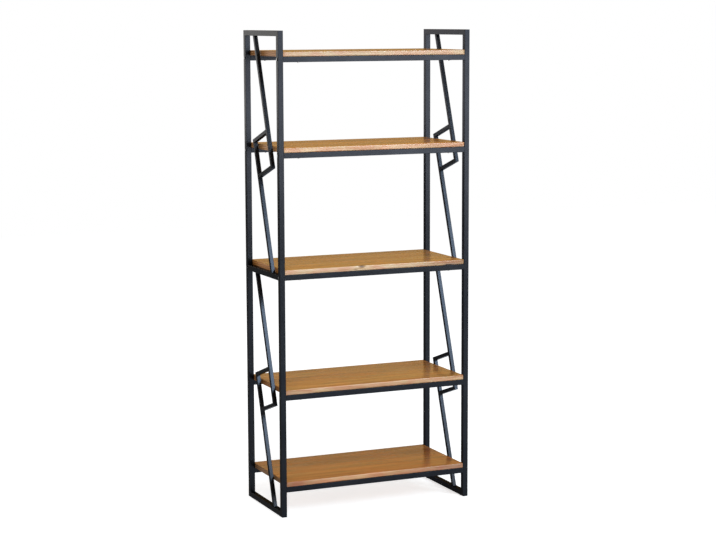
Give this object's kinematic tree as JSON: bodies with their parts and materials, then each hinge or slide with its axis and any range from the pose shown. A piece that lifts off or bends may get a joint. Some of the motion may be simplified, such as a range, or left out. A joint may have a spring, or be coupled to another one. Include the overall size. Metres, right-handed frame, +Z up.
{
  "type": "open shelving unit",
  "caption": "Tall open shelving unit with black square-tube side frames, angular leaning braces and natural-edge wooden boards on bolted cross rails.",
  "frame": {"origin": "on the floor, under the middle of the unit", "axes": "+Z up, +X to the right seen from the front, +Y to the back; the natural board edges face -Y"},
  "size_m": [0.7656, 0.351, 1.772],
  "materials": {
    "frame_black": "satin black powder coat",
    "shelf_wood": "satin lacquered solid hardwood with pale sapwood along the front edge",
    "plug_steel": "plain turned steel",
    "bolt_black": "black oxide",
    "screw_zinc": "bright zinc",
    "glide_nylon": "black nylon"
  },
  "bodies": {
    "root": {"left_bottom_rail": "frame_black", "left_frame_bolts": "bolt_black", "left_front_glide": "glide_nylon", "left_front_upright": "frame_black", "left_lower_brace_high_link": "frame_black", "left_lower_brace_low_link": "frame_black", "left_lower_brace_lower_bar": "frame_black", "left_lower_brace_upper_bar": "frame_black", "left_middle_rail": "frame_black", "left_rail_plugs": "plug_steel", "left_rear_glide": "glide_nylon", "left_rear_upright": "frame_black", "left_top_rail": "frame_black", "left_upper_brace_high_link": "frame_black", "left_upper_brace_low_link": "frame_black", "left_upper_brace_lower_bar": "frame_black", "left_upper_brace_upper_bar": "frame_black", "right_bottom_rail": "frame_black", "right_frame_bolts": "bolt_black", "right_front_glide": "glide_nylon", "right_front_upright": "frame_black", "right_lower_brace_high_link": "frame_black", "right_lower_brace_low_link": "frame_black", "right_lower_brace_lower_bar": "frame_black", "right_lower_brace_upper_bar": "frame_black", "right_middle_rail": "frame_black", "right_rail_plugs": "plug_steel", "right_rear_glide": "glide_nylon", "right_rear_upright": "frame_black", "right_top_rail": "frame_black", "right_upper_brace_high_link": "frame_black", "right_upper_brace_low_link": "frame_black", "right_upper_brace_lower_bar": "frame_black", "right_upper_brace_upper_bar": "frame_black", "shelf_1_board": "shelf_wood", "shelf_1_front_rail": "frame_black", "shelf_1_rear_rail": "frame_black", "shelf_1_screws": "screw_zinc", "shelf_2_board": "shelf_wood", "shelf_2_front_rail": "frame_black", "shelf_2_rear_rail": "frame_black", "shelf_2_screws": "screw_zinc", "shelf_3_board": "shelf_wood", "shelf_3_front_rail": "frame_black", "shelf_3_rear_rail": "frame_black", "shelf_3_screws": "screw_zinc", "shelf_4_board": "shelf_wood", "shelf_4_front_rail": "frame_black", "shelf_4_rear_rail": "frame_black", "shelf_4_screws": "screw_zinc", "shelf_5_board": "shelf_wood", "shelf_5_front_rail": "frame_black", "shelf_5_rear_rail": "frame_black", "shelf_5_screws": "screw_zinc"}
  },
  "joints": []
}
